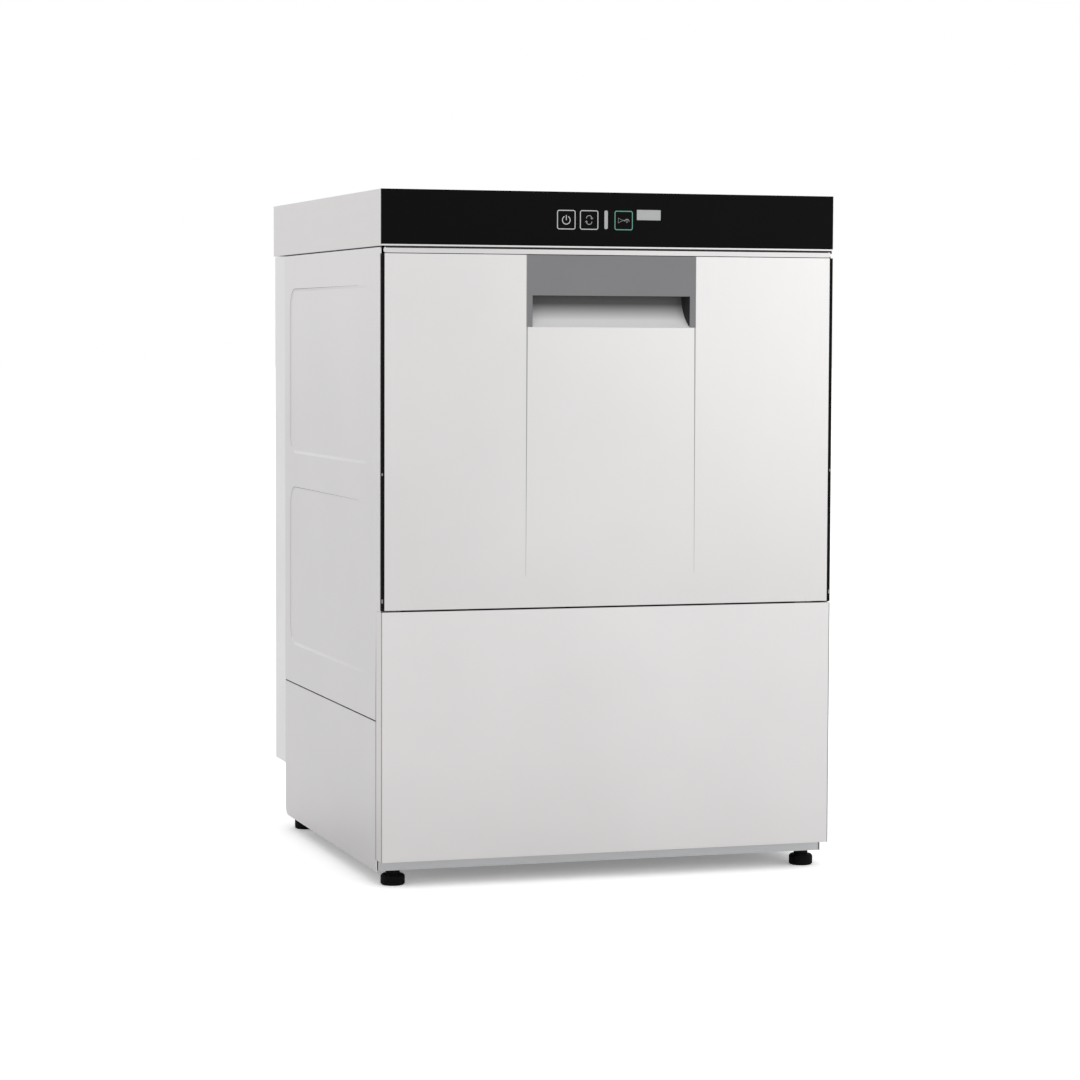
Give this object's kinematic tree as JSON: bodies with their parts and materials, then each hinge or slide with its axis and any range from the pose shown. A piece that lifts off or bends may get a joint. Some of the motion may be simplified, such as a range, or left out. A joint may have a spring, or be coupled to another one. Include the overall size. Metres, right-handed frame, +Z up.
{
  "type": "glass washer machine",
  "caption": "Front-loading commercial glass washer with a drop-down door, grip recess, black control fascia, steel casing, wash chamber, spray arms, pump and boiler.",
  "frame": {"origin": "centre of the footprint on the floor, under the feet", "axes": "+X to the right seen from the front, +Y from the door to the back, +Z up"},
  "size_m": [0.53, 0.53, 0.768],
  "materials": {
    "satin_steel": "satin, fine brushed",
    "plain_steel": "mill finish",
    "pale_coat": "matt",
    "black_fascia": "satin gloss",
    "display_lens": "gloss",
    "grip_plastic": "satin moulded",
    "black_rubber": "matt",
    "black_plastic": "satin moulded",
    "motor_alloy": "cast",
    "white_plastic": "satin moulded",
    "blue_plastic": "satin moulded",
    "grey_pipe": "satin moulded",
    "brass": "machined",
    "heater_metal": "heat-tinted",
    "circuit_board": "solder mask"
  },
  "bodies": {
    "cabinet": {"base_frame": "plain_steel", "lower_side_panel_left": "satin_steel", "lower_side_panel_right": "satin_steel", "upper_side_panel_left": "satin_steel", "upper_side_panel_right": "satin_steel", "lower_front_panel": "satin_steel", "lower_rear_panel": "plain_steel", "rear_cover": "pale_coat", "top_cover": "satin_steel", "front_top_rail": "satin_steel", "control_fascia": "black_fascia", "display_lenses": "display_lens", "control_board": "circuit_board", "wash_chamber": "satin_steel", "wash_tank": "satin_steel", "tank_filters": "satin_steel", "strainer_basket": "satin_steel", "rack_rails": "satin_steel", "spray_risers": "satin_steel", "lower_spindle": "satin_steel", "upper_spindle": "satin_steel", "arm_screws": "blue_plastic", "pump_volute": "black_plastic", "pump_motor": "motor_alloy", "suction_hose": "black_rubber", "delivery_hose": "black_rubber", "drain_pipe": "grey_pipe", "tank_heater": "heater_metal", "rinse_boiler": "satin_steel", "boiler_heater": "heater_metal", "water_hoses": "blue_plastic", "inlet_valve": "brass", "component_plate": "plain_steel", "dosing_housings": "white_plastic", "cable_gland": "black_plastic", "door_gasket": "black_rubber", "side_seals": "black_rubber", "hinge_brackets": "plain_steel", "door_catches": "black_plastic", "panel_screws": "plain_steel"},
    "door": {"door_outer_panel": "satin_steel", "door_inner_panel": "satin_steel", "door_handle": "grip_plastic", "hinge_blocks": "plain_steel", "door_springs": "plain_steel"},
    "foot_front_left": {"foot_front_left": "black_plastic"},
    "foot_front_right": {"foot_front_right": "black_plastic"},
    "foot_rear_left": {"foot_rear_left": "black_plastic"},
    "foot_rear_right": {"foot_rear_right": "black_plastic"},
    "button_power": {"button_power": "black_fascia"},
    "button_cycle": {"button_cycle": "black_fascia"},
    "button_start": {"button_start": "black_fascia"},
    "overflow_standpipe": {"overflow_standpipe": "white_plastic"},
    "lower_wash_arm": {"lower_wash_arm": "satin_steel"},
    "lower_rinse_arm": {"lower_rinse_arm": "satin_steel"},
    "upper_wash_arm": {"upper_wash_arm": "satin_steel"},
    "upper_rinse_arm": {"upper_rinse_arm": "satin_steel"},
    "pump_rotor": {"pump_rotor": "plain_steel"},
    "detergent_rotor": {"detergent_rotor": "blue_plastic"},
    "rinse_aid_rotor": {"rinse_aid_rotor": "blue_plastic"}
  },
  "joints": [
    {"name": "door_hinge", "type": "hinge", "parent": "cabinet", "child": "door", "pos_m": [0, -0.255, 0.318], "axis": [1, 0, 0], "range_deg": [0, 90], "stiffness_Nm_per_rad": 2.1, "deforming": ["door_springs"]},
    {"name": "foot_front_left_screw", "type": "slide", "parent": "cabinet", "child": "foot_front_left", "axis": [0, 0, -1], "range_m": [0, 0.012]},
    {"name": "foot_front_right_screw", "type": "slide", "parent": "cabinet", "child": "foot_front_right", "axis": [0, 0, -1], "range_m": [0, 0.012]},
    {"name": "foot_rear_left_screw", "type": "slide", "parent": "cabinet", "child": "foot_rear_left", "axis": [0, 0, -1], "range_m": [0, 0.012]},
    {"name": "foot_rear_right_screw", "type": "slide", "parent": "cabinet", "child": "foot_rear_right", "axis": [0, 0, -1], "range_m": [0, 0.012]},
    {"name": "button_power_press", "type": "slide", "parent": "cabinet", "child": "button_power", "axis": [0, 1, 0], "range_m": [0, 0.0008], "stiffness_N_per_m": 400},
    {"name": "button_cycle_press", "type": "slide", "parent": "cabinet", "child": "button_cycle", "axis": [0, 1, 0], "range_m": [0, 0.0008], "stiffness_N_per_m": 400},
    {"name": "button_start_press", "type": "slide", "parent": "cabinet", "child": "button_start", "axis": [0, 1, 0], "range_m": [0, 0.0008], "stiffness_N_per_m": 400},
    {"name": "standpipe_lift", "type": "slide", "parent": "cabinet", "child": "overflow_standpipe", "axis": [0, 0, 1], "range_m": [0, 0.06]},
    {"name": "lower_wash_arm_spin", "type": "hinge", "parent": "cabinet", "child": "lower_wash_arm", "pos_m": [0, -0.008, 0.324], "axis": [0, 0, 1], "continuous": true},
    {"name": "lower_rinse_arm_spin", "type": "hinge", "parent": "cabinet", "child": "lower_rinse_arm", "pos_m": [0, -0.008, 0.34], "axis": [0, 0, 1], "continuous": true},
    {"name": "upper_wash_arm_spin", "type": "hinge", "parent": "cabinet", "child": "upper_wash_arm", "pos_m": [0, -0.008, 0.667], "axis": [0, 0, 1], "continuous": true},
    {"name": "upper_rinse_arm_spin", "type": "hinge", "parent": "cabinet", "child": "upper_rinse_arm", "pos_m": [0, -0.008, 0.651], "axis": [0, 0, 1], "continuous": true},
    {"name": "pump_rotor_spin", "type": "hinge", "parent": "cabinet", "child": "pump_rotor", "pos_m": [-0.17, -0.008, 0.095], "axis": [1, 0, 0], "continuous": true},
    {"name": "detergent_rotor_spin", "type": "hinge", "parent": "cabinet", "child": "detergent_rotor", "pos_m": [-0.045, -0.235, 0.25], "axis": [0, 1, 0], "continuous": true},
    {"name": "rinse_aid_rotor_spin", "type": "hinge", "parent": "cabinet", "child": "rinse_aid_rotor", "pos_m": [0.045, -0.235, 0.25], "axis": [0, 1, 0], "continuous": true}
  ]
}
